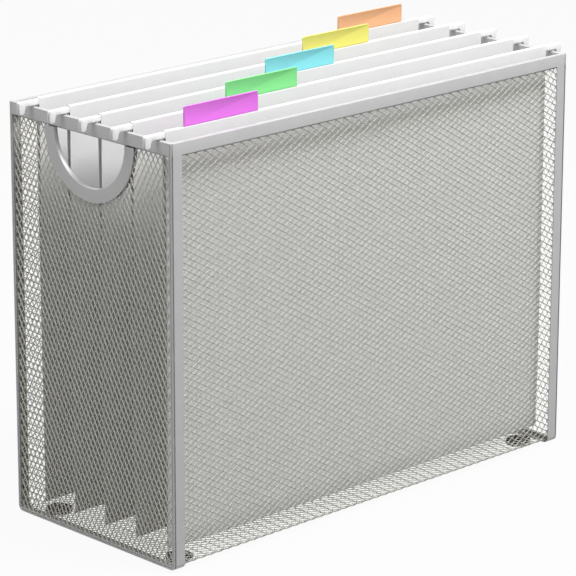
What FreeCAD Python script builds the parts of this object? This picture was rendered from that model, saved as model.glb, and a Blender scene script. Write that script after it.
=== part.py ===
import FreeCAD, Part
import math
import os

import Sketcher

# Mesh hanging file box, in millimetres. X runs along the long side, Y from front to rear
# and Z up. The origin is on the surface that the box stands on, under its centre.

Vector = FreeCAD.Vector

# Driving dimensions: the name of each cell, its value and what it measures.
DRIVING_SIZES = [
    ("box_length", 317.5, "outside, across the two end rails"),
    ("box_depth", 136.0, "outside, front to rear"),
    ("rim_crest", 246.5, "top of the rim above the table"),
    ("frame_low", 1.5, "underside of the steel above the table"),
    ("rim_height", 7.0, "height of the folded top strip"),
    ("rim_round", 0.9, "rounding of the top strip's two long edges"),
    ("strip_width", 3.0, "outside width of every folded strip"),
    ("gauge", 0.7, "sheet steel of the strips"),
    ("post_width", 7.8, "lip of the end frame on the front, rear and floor"),
    ("frame_round", 3.6, "outside radius of the end frame's two bends"),
    ("net_gauge", 1.0, "thickness of the mesh"),
    ("net_top", 245.2, "upper edge of the mesh, inside the top strip"),
    ("net_reach", 157.6, "half length of the front and rear mesh, inside the posts"),
    ("diamond_long", 6.64, "long way of a real diamond of the mesh"),
    ("diamond_short", 3.83, "short way of a real diamond of the mesh"),
    ("side_scale", 5, "modelled diamond against a real one, front and rear"),
    ("floor_scale", 4, "modelled diamond against a real one, floor"),
    ("end_scale", 3, "modelled diamond against a real one, ends"),
    ("net_strand", 2.2, "width of a modelled strand"),
    ("handle_inner", 29.5, "radius of the open half round"),
    ("handle_outer", 37.5, "outer radius of its trim"),
    ("handle_cut", 34.0, "radius cut out of the end mesh"),
    ("foot_radius", 7.75, "radius of a foot"),
    ("foot_height", 2.5, "from the table to the floor mesh"),
    ("foot_round", 0.6, "rounding of a foot's lower edge"),
    ("foot_from_end", 17.6, "foot's centre from the end face"),
    ("foot_from_front", 15.7, "foot's centre from the front or rear face"),
    ("first_folder", -57.3, "middle of the front folder, along Y"),
    ("folder_pitch", 26.4, "from one folder to the next"),
    ("folder_length", 305.0, "width of the paper"),
    ("folder_shift", -1.8, "the folders' middle along X: they hang a little to the left"),
    ("folder_top", 251.3, "top edge of the paper"),
    ("crease_height", 11.2, "axis of the bottom crease"),
    ("crease_radius", 0.45, "outside radius of the crease"),
    ("crease_gap", 0.1, "from the crease to the front panel's lower edge"),
    ("paper", 0.25, "thickness of the paper"),
    ("sleeve_height", 11.0, "height of the glued sleeve round a strip"),
    ("sleeve_slot", 0.9, "inside of the sleeve, front to rear"),
    ("sleeve_gap", 0.02, "from the folder's middle to a sleeve"),
    ("rod_gauge", 0.86, "thickness of the hanging strip"),
    ("rod_top", 249.6, "upper edge of the hanging strip"),
    ("rod_height", 7.6, "height of the hanging strip"),
    ("tongue_gauge", 0.5, "thickness of the tongue that enters a hook"),
    ("tongue_height", 1.4, "height of that tongue"),
    ("tongue_length", 7.0, "length of that tongue"),
    ("hook_gauge", 0.95, "thickness of a hook"),
    ("hook_top", 250.6, "upper edge of a hook's arm"),
    ("hook_rest", 246.6, "underside of a rear hook's arm, on the rail"),
    ("hook_lift", 1.0, "how much higher a front hook's underside is"),
    ("hook_tip", 243.3, "lowest point of a hook's finger"),
    ("finger_inner", 3.6, "root of the finger outside the end face"),
    ("finger_outer", 8.2, "outer side of the finger outside the end face"),
    ("finger_taper", 1.0, "how much the inner side leans out to the tip"),
    ("finger_lean", 0.3, "how much the outer side leans in to the tip"),
    ("finger_round", 1.1, "rounding of the tip"),
    ("arm_round", 0.8, "rounding of a hook's outer top corner and of its armpit"),
    ("socket_slack", 0.1, "end play of the tongue in its hook"),
    ("first_tab", -111.4, "middle of the front folder's tab, from the folder's middle"),
    ("tab_pitch", 55.4, "from one tab to the next"),
    ("tab_length", 54.8, "width of a tab"),
    ("tab_height", 11.2, "height of a tab above the paper"),
    ("tab_gauge", 1.0, "thickness of a tab"),
    ("tab_round", 0.8, "rounding of a tab's top corners"),
    ("peg_length", 6.0, "width of a tab's peg"),
    ("peg_gauge", 0.66, "thickness of a peg"),
    ("peg_slack", 0.1, "play of a peg in its slit, each way"),
    ("peg_depth", 1.2, "how far a peg enters the sleeve"),
    ("peg_spacing", 18.0, "from the tab's middle to a peg"),
]
FOLDERS = 5

doc = FreeCAD.newDocument("mesh_hanging_file_box")
sheet = doc.addObject("Spreadsheet::Sheet", "Sizes")
for row, (alias, size, meaning) in enumerate(DRIVING_SIZES, start=1):
    sheet.set(f"A{row}", meaning)
    sheet.set(f"B{row}", str(size))
    sheet.setAlias(f"B{row}", alias)
doc.recompute()

# Places that several pieces share, as expressions of the sheet's cells.
HALF_LENGTH = "Sizes.box_length / 2"
HALF_DEPTH = "Sizes.box_depth / 2"
RIM_LOW = "(Sizes.rim_crest - Sizes.rim_height)"
FRAME_INNER = "(Sizes.frame_low + Sizes.strip_width)"
NET_INSET = "((Sizes.strip_width - Sizes.net_gauge) / 2)"
SLEEVE_MIDDLE = "(Sizes.sleeve_gap + Sizes.paper + Sizes.sleeve_slot / 2)"
SLEEVE_OUTER = "(Sizes.sleeve_gap + 2 * Sizes.paper + Sizes.sleeve_slot)"

parts = []


def value(expression):
    """The number that an expression of the sheet's cells gives."""
    return float(sheet.evalExpression(expression))


def new_body(label):
    """An empty body that carries a sub-part's name."""
    body = doc.addObject("PartDesign::Body", label)
    body.Label = label
    parts.append(body)
    return body


def place(piece, x="0", y="0", z="0"):
    """Bind a piece's position to the sheet."""
    piece.setExpression(".Placement.Base.x", x)
    piece.setExpression(".Placement.Base.y", y)
    piece.setExpression(".Placement.Base.z", z)


def new_sketch(body, name, plane, offset="0"):
    """An empty sketch on one of the body's own planes, lifted off it by an offset."""
    sketch = body.newObject("Sketcher::SketchObject", name)
    support = [f for f in body.Origin.OriginFeatures if f.Role == plane][0]
    sketch.AttachmentSupport = [(support, "")]
    sketch.MapMode = "FlatFace"
    sketch.setExpression(".AttachmentOffset.Base.z", offset)
    return sketch


def add_loop(sketch, corners):
    """Add a closed outline whose corners are pairs of expressions."""
    first = sketch.GeometryCount
    points = [Vector(value(x), value(y), 0) for x, y in corners]
    count = len(points)
    for i, point in enumerate(points):
        sketch.addGeometry(Part.LineSegment(point, points[(i + 1) % count]), False)
    for i, (x, y) in enumerate(corners):
        line = first + i
        after = first + (i + 1) % count
        sketch.addConstraint(Sketcher.Constraint("Coincident", line, 2, after, 1))
        for kind, expression, size in (("DistanceX", x, points[i].x), ("DistanceY", y, points[i].y)):
            number = sketch.addConstraint(Sketcher.Constraint(kind, -1, 1, line, 1, size))
            sketch.setExpression(f"Constraints[{number}]", expression)


def add_circle(sketch, x, y, radius):
    """Add a circle whose centre and radius are expressions."""
    centre = Vector(value(x), value(y), 0)
    circle = sketch.addGeometry(Part.Circle(centre, Vector(0, 0, 1), value(radius)), False)
    for kind, expression, size in (("DistanceX", x, centre.x), ("DistanceY", y, centre.y)):
        number = sketch.addConstraint(Sketcher.Constraint(kind, -1, 1, circle, 3, size))
        sketch.setExpression(f"Constraints[{number}]", expression)
    number = sketch.addConstraint(Sketcher.Constraint("Radius", circle, value(radius)))
    sketch.setExpression(f"Constraints[{number}]", radius)


def rectangle(x_low, x_high, y_low, y_high):
    """The four corners of a rectangle, as pairs of expressions."""
    return [(x_low, y_low), (x_high, y_low), (x_high, y_high), (x_low, y_high)]


def add_pad(body, sketch, length, downward=False):
    """Grow a sketch into material along its normal, or against it."""
    pad = body.newObject("PartDesign::Pad", "Pad")
    pad.Profile = sketch
    pad.Reversed = downward
    pad.setExpression("Length", length)
    doc.recompute()
    return pad


def add_pocket(body, sketch, depth, upward=False):
    """Cut a sketch out against its normal, or along it, and make sure that it cuts."""
    before = body.Shape.Volume
    pocket = body.newObject("PartDesign::Pocket", "Pocket")
    pocket.Profile = sketch
    pocket.Reversed = upward
    pocket.setExpression("Length", depth)
    doc.recompute()
    if pocket.Shape.Volume > before - 1e-6:
        raise ValueError(f"{body.Label}: a pocket removes nothing")
    return pocket


def round_edges(body, axis, points, radius):
    """Round the straight edges that run along an axis through points of the other two."""
    base = body.Tip
    others = [i for i in range(3) if i != axis]
    wanted = [tuple(value(expression) for expression in point) for point in points]
    names = []
    for number, edge in enumerate(base.Shape.Edges, start=1):
        start = edge.Vertexes[0].Point
        end = edge.Vertexes[-1].Point
        if not isinstance(edge.Curve, Part.Line) or abs(start[axis] - end[axis]) < 1e-6:
            continue
        for point in wanted:
            if all(abs(tip[i] - p) < 1e-3 for tip in (start, end) for i, p in zip(others, point)):
                names.append(f"Edge{number}")
    if len(names) < len(points):
        raise ValueError(f"{body.Label}: {len(names)} of {len(points)} edges found to round")
    fillet = body.newObject("PartDesign::Fillet", "Fillet")
    fillet.Base = (base, names)
    fillet.setExpression("Radius", radius)
    doc.recompute()
    return fillet


# Top rim: four folded strips, mitred at the corners, with the mesh in their slot.


def rim_strip(label, side, along_x):
    """One side of the rim. side is -1 or 1, and along_x says which way it runs."""
    run, cross = (HALF_LENGTH, HALF_DEPTH) if along_x else (HALF_DEPTH, HALF_LENGTH)

    def mitred(outer, inner):
        corners = [
            (f"-({run} - {outer})", f"{side} * ({cross} - {outer})"),
            (f"{run} - {outer}", f"{side} * ({cross} - {outer})"),
            (f"{run} - {inner}", f"{side} * ({cross} - {inner})"),
            (f"-({run} - {inner})", f"{side} * ({cross} - {inner})"),
        ]
        return corners if along_x else [(y, x) for x, y in corners]

    body = new_body(label)
    outline = new_sketch(body, "Outline", "XY_Plane", RIM_LOW)
    add_loop(outline, mitred("0", "Sizes.strip_width"))
    add_pad(body, outline, "Sizes.rim_height")
    slot = new_sketch(body, "Slot", "XY_Plane", RIM_LOW)
    add_loop(slot, mitred("Sizes.gauge", "(Sizes.strip_width - Sizes.gauge)"))
    add_pocket(body, slot, "Sizes.rim_height - Sizes.gauge", upward=True)
    axis = 0 if along_x else 1
    edges = [
        (f"{side} * {cross}", "Sizes.rim_crest"),
        (f"{side} * ({cross} - Sizes.strip_width)", "Sizes.rim_crest"),
    ]
    round_edges(body, axis, edges, "Sizes.rim_round")
    return body


# End frames: a channel strip bent down the front, along the floor and up the rear.


def u_band(outer, inner):
    """The bent strip's outline in Y and Z, between two depths into its width."""
    return [
        (f"-({HALF_DEPTH} - {outer})", RIM_LOW),
        (f"-({HALF_DEPTH} - {outer})", f"Sizes.frame_low + {outer}"),
        (f"{HALF_DEPTH} - {outer}", f"Sizes.frame_low + {outer}"),
        (f"{HALF_DEPTH} - {outer}", RIM_LOW),
        (f"{HALF_DEPTH} - {inner}", RIM_LOW),
        (f"{HALF_DEPTH} - {inner}", f"Sizes.frame_low + {inner}"),
        (f"-({HALF_DEPTH} - {inner})", f"Sizes.frame_low + {inner}"),
        (f"-({HALF_DEPTH} - {inner})", RIM_LOW),
    ]


def end_frame(label, side):
    """The channel round one end, open towards the middle of the box."""
    body = new_body(label)
    low = f"-{HALF_LENGTH}" if side < 0 else f"{HALF_LENGTH} - Sizes.post_width"
    outline = new_sketch(body, "Outline", "YZ_Plane", low)
    add_loop(outline, u_band("0", "Sizes.strip_width"))
    add_pad(body, outline, "Sizes.post_width")
    mouth = f"{side} * ({HALF_LENGTH} - Sizes.post_width)"
    slot = new_sketch(body, "Slot", "YZ_Plane", mouth)
    add_loop(slot, u_band("Sizes.gauge", "(Sizes.strip_width - Sizes.gauge)"))
    add_pocket(body, slot, "Sizes.post_width - Sizes.gauge", upward=side > 0)
    for depth in ("Sizes.gauge", "0", "(Sizes.strip_width - Sizes.gauge)", "Sizes.strip_width"):
        corners = [
            (f"{hand} * ({HALF_DEPTH} - {depth})", f"Sizes.frame_low + {depth}")
            for hand in (-1, 1)
        ]
        round_edges(body, 0, corners, f"Sizes.frame_round - {depth}")
    return body


# Mesh panels: flat nets of diamonds, coarser than the real mesh by the scales above.


def clip(points, low, high):
    """The part of a convex outline that is inside a rectangle from low to high."""
    for axis in (0, 1):
        for limit, sign in ((low[axis], 1), (high[axis], -1)):
            kept = []
            for i, here in enumerate(points):
                before = points[i - 1]
                inside = sign * (here[axis] - limit) >= 0
                was_inside = sign * (before[axis] - limit) >= 0
                if inside != was_inside:
                    share = (limit - before[axis]) / (here[axis] - before[axis])
                    kept.append(tuple(b + share * (h - b) for b, h in zip(before, here)))
                if inside:
                    kept.append(here)
            points = kept
            if not points:
                return []
    return points


def area(points):
    """The area inside an outline."""
    total = sum(a[0] * b[1] - b[0] * a[1] for a, b in zip(points, points[1:] + points[:1]))
    return abs(total) / 2


def diamond_holes(low, high, scale, solid_rounds=()):
    """Outlines of the gaps inside a window, with the long way along the first axis.

    scale is the cell that says how coarse the net is. solid_rounds holds (x, y, radius)
    of places that stay closed.
    """
    pitch_x = value(f"Sizes.diamond_long * Sizes.{scale}")
    pitch_y = value(f"Sizes.diamond_short * Sizes.{scale}")
    strand = value("Sizes.net_strand")
    shrink = 1 - strand * math.hypot(pitch_x, pitch_y) / (pitch_x * pitch_y)
    half_x, half_y = shrink * pitch_x / 2, shrink * pitch_y / 2
    middle_x, middle_y = (low[0] + high[0]) / 2, (low[1] + high[1]) / 2
    reach_x = math.ceil((high[0] - low[0]) / pitch_x) + 1
    reach_y = math.ceil((high[1] - low[1]) / pitch_y) + 1
    holes = []
    for column in range(-reach_x, reach_x + 1):
        for row in range(-reach_y, reach_y + 1):
            if (column + row) % 2:
                continue
            x, y = middle_x + column * pitch_x / 2, middle_y + row * pitch_y / 2
            corners = [(x - half_x, y), (x, y - half_y), (x + half_x, y), (x, y + half_y)]
            corners = clip(corners, low, high)
            if len(corners) < 3 or area(corners) < strand * strand:
                continue
            spots = corners + [(x, y)]
            spots += [((a[0] + b[0]) / 2, (a[1] + b[1]) / 2) for a, b in zip(corners, corners[1:])]
            near = [math.dist(p, c[:2]) < c[2] for p in spots for c in solid_rounds]
            if not any(near):
                holes.append(corners)
    print(f"{scale}: {len(holes)} gaps")
    return holes


def holed_sheet(outline, holes, to_space, thickness):
    """Extrude a holed flat face. to_space turns a flat point into a point in space."""
    wires = []
    for points in [outline] + holes:
        corners = [to_space(*point) for point in points]
        wires.append(Part.makePolygon(corners + corners[:1]))
    face = Part.makeFace(Part.Compound(wires), "Part::FaceMakerBullseye")
    return face.extrude(thickness)


def box_outline(low, high):
    """The corners of a flat rectangle."""
    return [low, (high[0], low[1]), high, (low[0], high[1])]


def add_feature(label, shape):
    """Keep a shape that is worked out from the sheet as a named sub-part."""
    feature = doc.addObject("Part::Feature", label)
    feature.Label = label
    feature.Shape = shape
    feature.Placement = FreeCAD.Placement()
    parts.append(feature)
    return feature


def side_net(label, side):
    """The front or rear face of the wrapped mesh, above its bend."""
    inset = value(NET_INSET)
    gauge = value("Sizes.net_gauge")
    y = side * (value(HALF_DEPTH) - inset) - (gauge if side > 0 else 0)
    bend_top = value("Sizes.frame_low + Sizes.frame_round")
    reach, top = value("Sizes.net_reach"), value("Sizes.net_top")
    post = value(f"{HALF_LENGTH} - Sizes.post_width")
    window = ((-post, bend_top + value("Sizes.net_strand")), (post, value(RIM_LOW)))
    shape = holed_sheet(
        box_outline((-reach, bend_top), (reach, top)),
        diamond_holes(*window, "side_scale"),
        lambda x, z: Vector(x, y, z),
        Vector(0, gauge, 0),
    )
    return add_feature(label, shape)


def floor_net(label):
    """The floor of the wrapped mesh, with the bends up to the front and rear faces."""
    gauge = value("Sizes.net_gauge")
    inset = value(NET_INSET)
    reach = value("Sizes.net_reach")
    outer = value("Sizes.frame_round") - inset
    flat_reach = value(f"{HALF_DEPTH} - Sizes.frame_round")
    low = value("Sizes.frame_low") + inset
    post = value(f"{HALF_LENGTH} - Sizes.post_width")
    foot_x = value(f"{HALF_LENGTH} - Sizes.foot_from_end")
    foot_y = value(f"{HALF_DEPTH} - Sizes.foot_from_front")
    pad = value("Sizes.foot_radius") + gauge
    pads = [(i * foot_x, j * foot_y, pad) for i in (-1, 1) for j in (-1, 1)]
    shape = holed_sheet(
        box_outline((-reach, -flat_reach), (reach, flat_reach)),
        diamond_holes((-post, -flat_reach + gauge), (post, flat_reach - gauge), "floor_scale", pads),
        lambda x, y: Vector(x, y, low),
        Vector(0, 0, gauge),
    )
    for side in (-1, 1):
        centre = Vector(-reach, side * flat_reach, low + outer)
        start = 180 if side < 0 else 270
        pipe = Part.makeCylinder(outer, 2 * reach, centre, Vector(1, 0, 0), 360)
        bore = Part.makeCylinder(outer - gauge, 2 * reach, centre, Vector(1, 0, 0), 360)
        corner = Vector(-reach, side * flat_reach - (outer if start == 180 else 0), low)
        quarter = Part.makeBox(2 * reach, outer, outer, corner)
        shape = shape.fuse(pipe.cut(bore).common(quarter))
    return add_feature(label, shape.removeSplitter())


def end_net(label, side):
    """An end's mesh, with its long way upright and a half round cut out under the rail."""
    gauge = value("Sizes.net_gauge")
    x = side * (value(HALF_LENGTH) - value(NET_INSET)) - (gauge if side > 0 else 0)
    reach = value(f"{HALF_DEPTH} - Sizes.strip_width")
    low, top, rail = value(FRAME_INNER), value("Sizes.net_top"), value(RIM_LOW)
    bend = value("Sizes.frame_round - Sizes.strip_width")
    trim = value("Sizes.handle_outer") - value("Sizes.gauge")
    strand = value("Sizes.net_strand")
    window = ((low + strand, -reach + strand), (rail, reach - strand))
    shape = holed_sheet(
        [
            (low, bend - reach),
            (low + bend, -reach),
            (top, -reach),
            (top, reach),
            (low + bend, reach),
            (low, reach - bend),
        ],
        diamond_holes(*window, "end_scale", [(rail, 0.0, trim)]),
        lambda z, y: Vector(x, y, z),
        Vector(gauge, 0, 0),
    )
    cut = value("Sizes.handle_cut")
    disc = Part.makeCylinder(cut, gauge, Vector(x, 0, rail), Vector(1, 0, 0))
    below = Part.makeBox(gauge, 2 * cut, cut, Vector(x, -cut, rail - cut))
    return add_feature(label, shape.cut(disc.common(below)))


# Handle trims: a channel strip bent into a half ring over the cut edge of the end mesh.


def handle_trim(label, side):
    """The half ring, revolved about a line along X at the rail's lower edge."""
    body = new_body(label)

    def across(depth):
        return f"{side} * ({HALF_LENGTH} - {depth})"

    inner, outer = "-Sizes.handle_inner", "-Sizes.handle_outer"
    web = "-(Sizes.handle_inner + Sizes.gauge)"
    profile = new_sketch(body, "Profile", "XY_Plane", RIM_LOW)
    add_loop(
        profile,
        [
            (across("0"), inner),
            (across("Sizes.strip_width"), inner),
            (across("Sizes.strip_width"), outer),
            (across("(Sizes.strip_width - Sizes.gauge)"), outer),
            (across("(Sizes.strip_width - Sizes.gauge)"), web),
            (across("Sizes.gauge"), web),
            (across("Sizes.gauge"), outer),
            (across("0"), outer),
        ],
    )
    turn = body.newObject("PartDesign::Revolution", "HalfTurn")
    turn.Profile = profile
    turn.ReferenceAxis = (profile, ["H_Axis"])
    turn.Angle = 180
    doc.recompute()
    if turn.Shape.BoundBox.ZMax > value(RIM_LOW) + 1:
        turn.Reversed = True
        doc.recompute()
    return body


# Feet: round rubber pads under the floor mesh.


def foot(label, side_x, side_y):
    """One foot, standing on the table."""
    body = new_body(label)
    disc = new_sketch(body, "Disc", "XY_Plane")
    add_circle(disc, "0", "0", "Sizes.foot_radius")
    pad = add_pad(body, disc, "Sizes.foot_height")
    lower = [
        f"Edge{number}"
        for number, edge in enumerate(pad.Shape.Edges, start=1)
        if edge.BoundBox.ZMax < 1e-6
    ]
    fillet = body.newObject("PartDesign::Fillet", "Fillet")
    fillet.Base = (pad, lower)
    fillet.setExpression("Radius", "Sizes.foot_round")
    place(
        body,
        f"{side_x} * ({HALF_LENGTH} - Sizes.foot_from_end)",
        f"{side_y} * ({HALF_DEPTH} - Sizes.foot_from_front)",
    )
    return body


# Hanging folders. Each is modelled about its own middle and placed along the rails.


def folder_place(number):
    """Where a folder's middle is along Y, counted from 0 at the front."""
    return f"Sizes.first_folder + {number} * Sizes.folder_pitch"


def tab_place(number):
    """Where a tab is along X, from the folder's middle."""
    return f"Sizes.first_tab + {number} * Sizes.tab_pitch"


def paper_panel(label, number, side):
    """One face of the folder with its sleeve. The rear one, side 1, has the crease."""
    body = new_body(label)
    top, sleeve_low = "Sizes.folder_top", "Sizes.folder_top - Sizes.sleeve_height"
    inner, outer = "Sizes.sleeve_gap", SLEEVE_OUTER
    wall = f"({SLEEVE_OUTER} - Sizes.paper)"
    at_crease = "2 * Sizes.sleeve_gap"
    clear_of_crease = "Sizes.crease_height + Sizes.crease_radius + Sizes.crease_gap"
    low = clear_of_crease if side < 0 else "Sizes.crease_height"
    outline = new_sketch(body, "Outline", "YZ_Plane", "-Sizes.folder_length / 2")
    corners = [
        (inner, top),
        (outer, top),
        (outer, sleeve_low),
        (f"{at_crease} + Sizes.paper", low),
        (at_crease, low),
        (wall, sleeve_low),
        (inner, sleeve_low),
    ]
    add_loop(outline, [(f"{side} * ({y})", z) for y, z in corners])
    slot = rectangle(
        f"{side} * (Sizes.sleeve_gap + Sizes.paper)",
        f"{side} * {wall}",
        f"{sleeve_low} + Sizes.paper",
        f"{top} - Sizes.paper",
    )
    add_loop(outline, slot)
    add_pad(body, outline, "Sizes.folder_length")
    if side > 0:
        crease = new_sketch(body, "Crease", "YZ_Plane", "-Sizes.folder_length / 2")
        add_circle(crease, "0", "Sizes.crease_height", "Sizes.crease_radius")
        add_pad(body, crease, "Sizes.folder_length")
    else:
        slits = new_sketch(body, "TabSlits", "XY_Plane", top)
        for hand in (-1, 1):
            add_loop(slits, peg_outline(number, hand, "Sizes.peg_slack"))
        add_pocket(body, slits, "Sizes.paper")
    place(body, x="Sizes.folder_shift", y=folder_place(number))
    return body


def peg_outline(number, hand, slack):
    """A tab peg's outline in X and Y, about the front sleeve's middle."""
    middle = f"({tab_place(number)} + {hand} * Sizes.peg_spacing)"
    half = f"(Sizes.peg_length / 2 + {slack})"
    thick = f"(Sizes.peg_gauge / 2 + {slack})"
    return rectangle(
        f"{middle} - {half}",
        f"{middle} + {half}",
        f"-({SLEEVE_MIDDLE} + {thick})",
        f"-({SLEEVE_MIDDLE} - {thick})",
    )


def hanging_rod(label, number, side):
    """The flat strip in a sleeve, with a thin tongue at each end for a hook."""
    body = new_body(label)
    strip = new_sketch(body, "Strip", "XZ_Plane", "-Sizes.rod_gauge / 2")
    half = "Sizes.folder_length / 2"
    add_loop(strip, rectangle(f"-{half}", half, "Sizes.rod_top - Sizes.rod_height", "Sizes.rod_top"))
    add_pad(body, strip, "Sizes.rod_gauge")
    tongue = new_sketch(body, "Tongue", "XZ_Plane", "-Sizes.tongue_gauge / 2")
    reach = "(Sizes.folder_length / 2 + Sizes.tongue_length)"
    low = "Sizes.rod_top - Sizes.tongue_height"
    add_loop(tongue, rectangle(f"-{reach}", reach, low, "Sizes.rod_top"))
    add_pad(body, tongue, "Sizes.tongue_gauge")
    place(body, x="Sizes.folder_shift", y=f"{folder_place(number)} + {side} * {SLEEVE_MIDDLE}")
    return body


def hook_pair(label, number, side):
    """The two white hooks of one strip. A front hook, side -1, is cut higher."""
    body = doc.addObject("PartDesign::Body", f"{label}_right")
    root = "Sizes.folder_length / 2"
    rest = "Sizes.hook_rest" if side > 0 else "(Sizes.hook_rest + Sizes.hook_lift)"
    finger_in = f"{HALF_LENGTH} + Sizes.finger_inner"
    finger_out = f"{HALF_LENGTH} + Sizes.finger_outer"
    outline = new_sketch(body, "Outline", "XZ_Plane", "-Sizes.hook_gauge / 2")
    corners = [
        (root, rest),
        (finger_in, rest),
        (f"{finger_in} + Sizes.finger_taper", "Sizes.hook_tip"),
        (f"{finger_out} - Sizes.finger_lean", "Sizes.hook_tip"),
        (finger_out, "Sizes.hook_top"),
        (root, "Sizes.hook_top"),
    ]
    add_loop(outline, corners)
    add_pad(body, outline, "Sizes.hook_gauge")
    round_edges(body, 1, corners[2:4], "Sizes.finger_round")
    round_edges(body, 1, [corners[4], corners[1]], "Sizes.arm_round")
    socket = new_sketch(body, "Socket", "YZ_Plane", root)
    half = "Sizes.tongue_gauge / 2"
    low = "Sizes.rod_top - Sizes.tongue_height"
    add_loop(socket, rectangle(f"-{half}", half, low, "Sizes.rod_top"))
    add_pocket(body, socket, "Sizes.tongue_length + Sizes.socket_slack", upward=True)
    mirrored = doc.addObject("Part::Mirroring", f"{label}_left")
    mirrored.Source = body
    mirrored.Normal = Vector(1, 0, 0)
    pair = doc.addObject("Part::Compound", label)
    pair.Label = label
    pair.Links = [body, mirrored]
    place(pair, x="Sizes.folder_shift", y=f"{folder_place(number)} + {side} * {SLEEVE_MIDDLE}")
    parts.append(pair)
    return pair


def tab(label, number):
    """The coloured tab, standing on the front sleeve with two pegs in its slits."""
    body = new_body(label)
    half = "Sizes.tab_length / 2"
    low, high = "Sizes.folder_top", "(Sizes.folder_top + Sizes.tab_height)"
    left, right = f"{tab_place(number)} - {half}", f"{tab_place(number)} + {half}"
    plate = new_sketch(body, "Plate", "XZ_Plane", f"{SLEEVE_MIDDLE} - Sizes.tab_gauge / 2")
    add_loop(plate, rectangle(left, right, low, high))
    add_pad(body, plate, "Sizes.tab_gauge")
    round_edges(body, 1, [(left, high), (right, high)], "Sizes.tab_round")
    pegs = new_sketch(body, "Pegs", "XY_Plane", low)
    for hand in (-1, 1):
        add_loop(pegs, peg_outline(number, hand, "0"))
    add_pad(body, pegs, "Sizes.peg_depth", downward=True)
    place(body, x="Sizes.folder_shift", y=folder_place(number))
    return body


rim_strip("rim_front", -1, along_x=True)
rim_strip("rim_rear", 1, along_x=True)
rim_strip("rail_left", -1, along_x=False)
rim_strip("rail_right", 1, along_x=False)
side_net("mesh_front", -1)
floor_net("mesh_floor")
side_net("mesh_rear", 1)
for end, hand_x in (("left", -1), ("right", 1)):
    end_frame(f"end_frame_{end}", hand_x)
    end_net(f"mesh_{end}", hand_x)
    handle_trim(f"handle_trim_{end}", hand_x)
    foot(f"foot_front_{end}", hand_x, -1)
    foot(f"foot_rear_{end}", hand_x, 1)
for index in range(FOLDERS):
    name = f"folder_{index + 1}"
    for face, hand_y in (("front", -1), ("rear", 1)):
        paper_panel(f"{name}_{face}_panel", index, hand_y)
        hanging_rod(f"{name}_{face}_rod", index, hand_y)
        hook_pair(f"{name}_{face}_hooks", index, hand_y)
    tab(f"{name}_tab", index)

doc.recompute()

for item in doc.Objects:
    if "Invalid" in item.State or "Error" in item.State:
        raise ValueError(f"{item.Label} failed: {item.State}")
os.makedirs("parts", exist_ok=True)
for piece in parts:
    if piece.Shape.isNull() or not piece.Shape.isValid() or not piece.Shape.Solids:
        raise ValueError(f"{piece.Label} has no valid solid")
    piece.Shape.exportStep(f"parts/{piece.Label}.step")
    bounds = piece.Shape.BoundBox
    print(
        f"{piece.Label}: {len(piece.Shape.Solids)} solid(s), {piece.Shape.Volume:.0f} mm3, "
        f"x {bounds.XMin:.2f} to {bounds.XMax:.2f}, y {bounds.YMin:.2f} to {bounds.YMax:.2f}, "
        f"z {bounds.ZMin:.2f} to {bounds.ZMax:.2f}"
    )
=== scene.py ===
"""Looks of the mesh hanging file box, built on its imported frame.

Sizes are in millimetres in the classes and in metres in Blender. X runs along the box,
Y from front to rear and Z up from the table. NEAR is how close two places are, in
millimetres, when they count as one, and TOUCH is the same for places in metres. FINE
tells apart the close points of a fold, in millimetres.
"""

import logging
import math
from dataclasses import dataclass, replace
from enum import Enum
from typing import Any, Callable

import bmesh
import bpy
from mathutils import Matrix, Vector

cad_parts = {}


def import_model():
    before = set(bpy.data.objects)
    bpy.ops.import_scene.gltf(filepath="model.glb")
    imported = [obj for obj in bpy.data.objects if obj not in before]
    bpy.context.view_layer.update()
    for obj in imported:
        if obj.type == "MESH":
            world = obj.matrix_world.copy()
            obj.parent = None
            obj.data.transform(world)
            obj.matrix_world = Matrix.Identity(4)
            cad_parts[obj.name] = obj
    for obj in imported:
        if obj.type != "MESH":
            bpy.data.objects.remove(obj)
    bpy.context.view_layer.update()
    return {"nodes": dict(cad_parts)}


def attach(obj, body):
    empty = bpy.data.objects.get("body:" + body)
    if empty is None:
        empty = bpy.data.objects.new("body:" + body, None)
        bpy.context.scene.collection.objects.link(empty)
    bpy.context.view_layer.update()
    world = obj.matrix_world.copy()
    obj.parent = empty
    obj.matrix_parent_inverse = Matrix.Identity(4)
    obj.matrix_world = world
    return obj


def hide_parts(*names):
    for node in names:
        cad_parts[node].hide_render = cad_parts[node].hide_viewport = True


LOG = logging.getLogger("file_box")
MM = 0.001
NEAR = 0.01
FINE = 0.001
TOUCH = 0.02 * MM

Pair = tuple[float, float]
Point = tuple[float, float, float]
Colour = tuple[float, float, float]
Piece = bpy.types.Object
Material = bpy.types.Material
Test = Callable[[Any], bool]


# ---- modelling


def along(axis: int, length: float) -> Vector:
    """A step of a length along one axis."""
    return Vector([length if axis == other else 0.0 for other in range(3)])


class Element(Enum):
    """What a selection picks, as its place in the mesh select mode."""

    VERTEX = 0
    EDGE = 1
    FACE = 2


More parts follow.
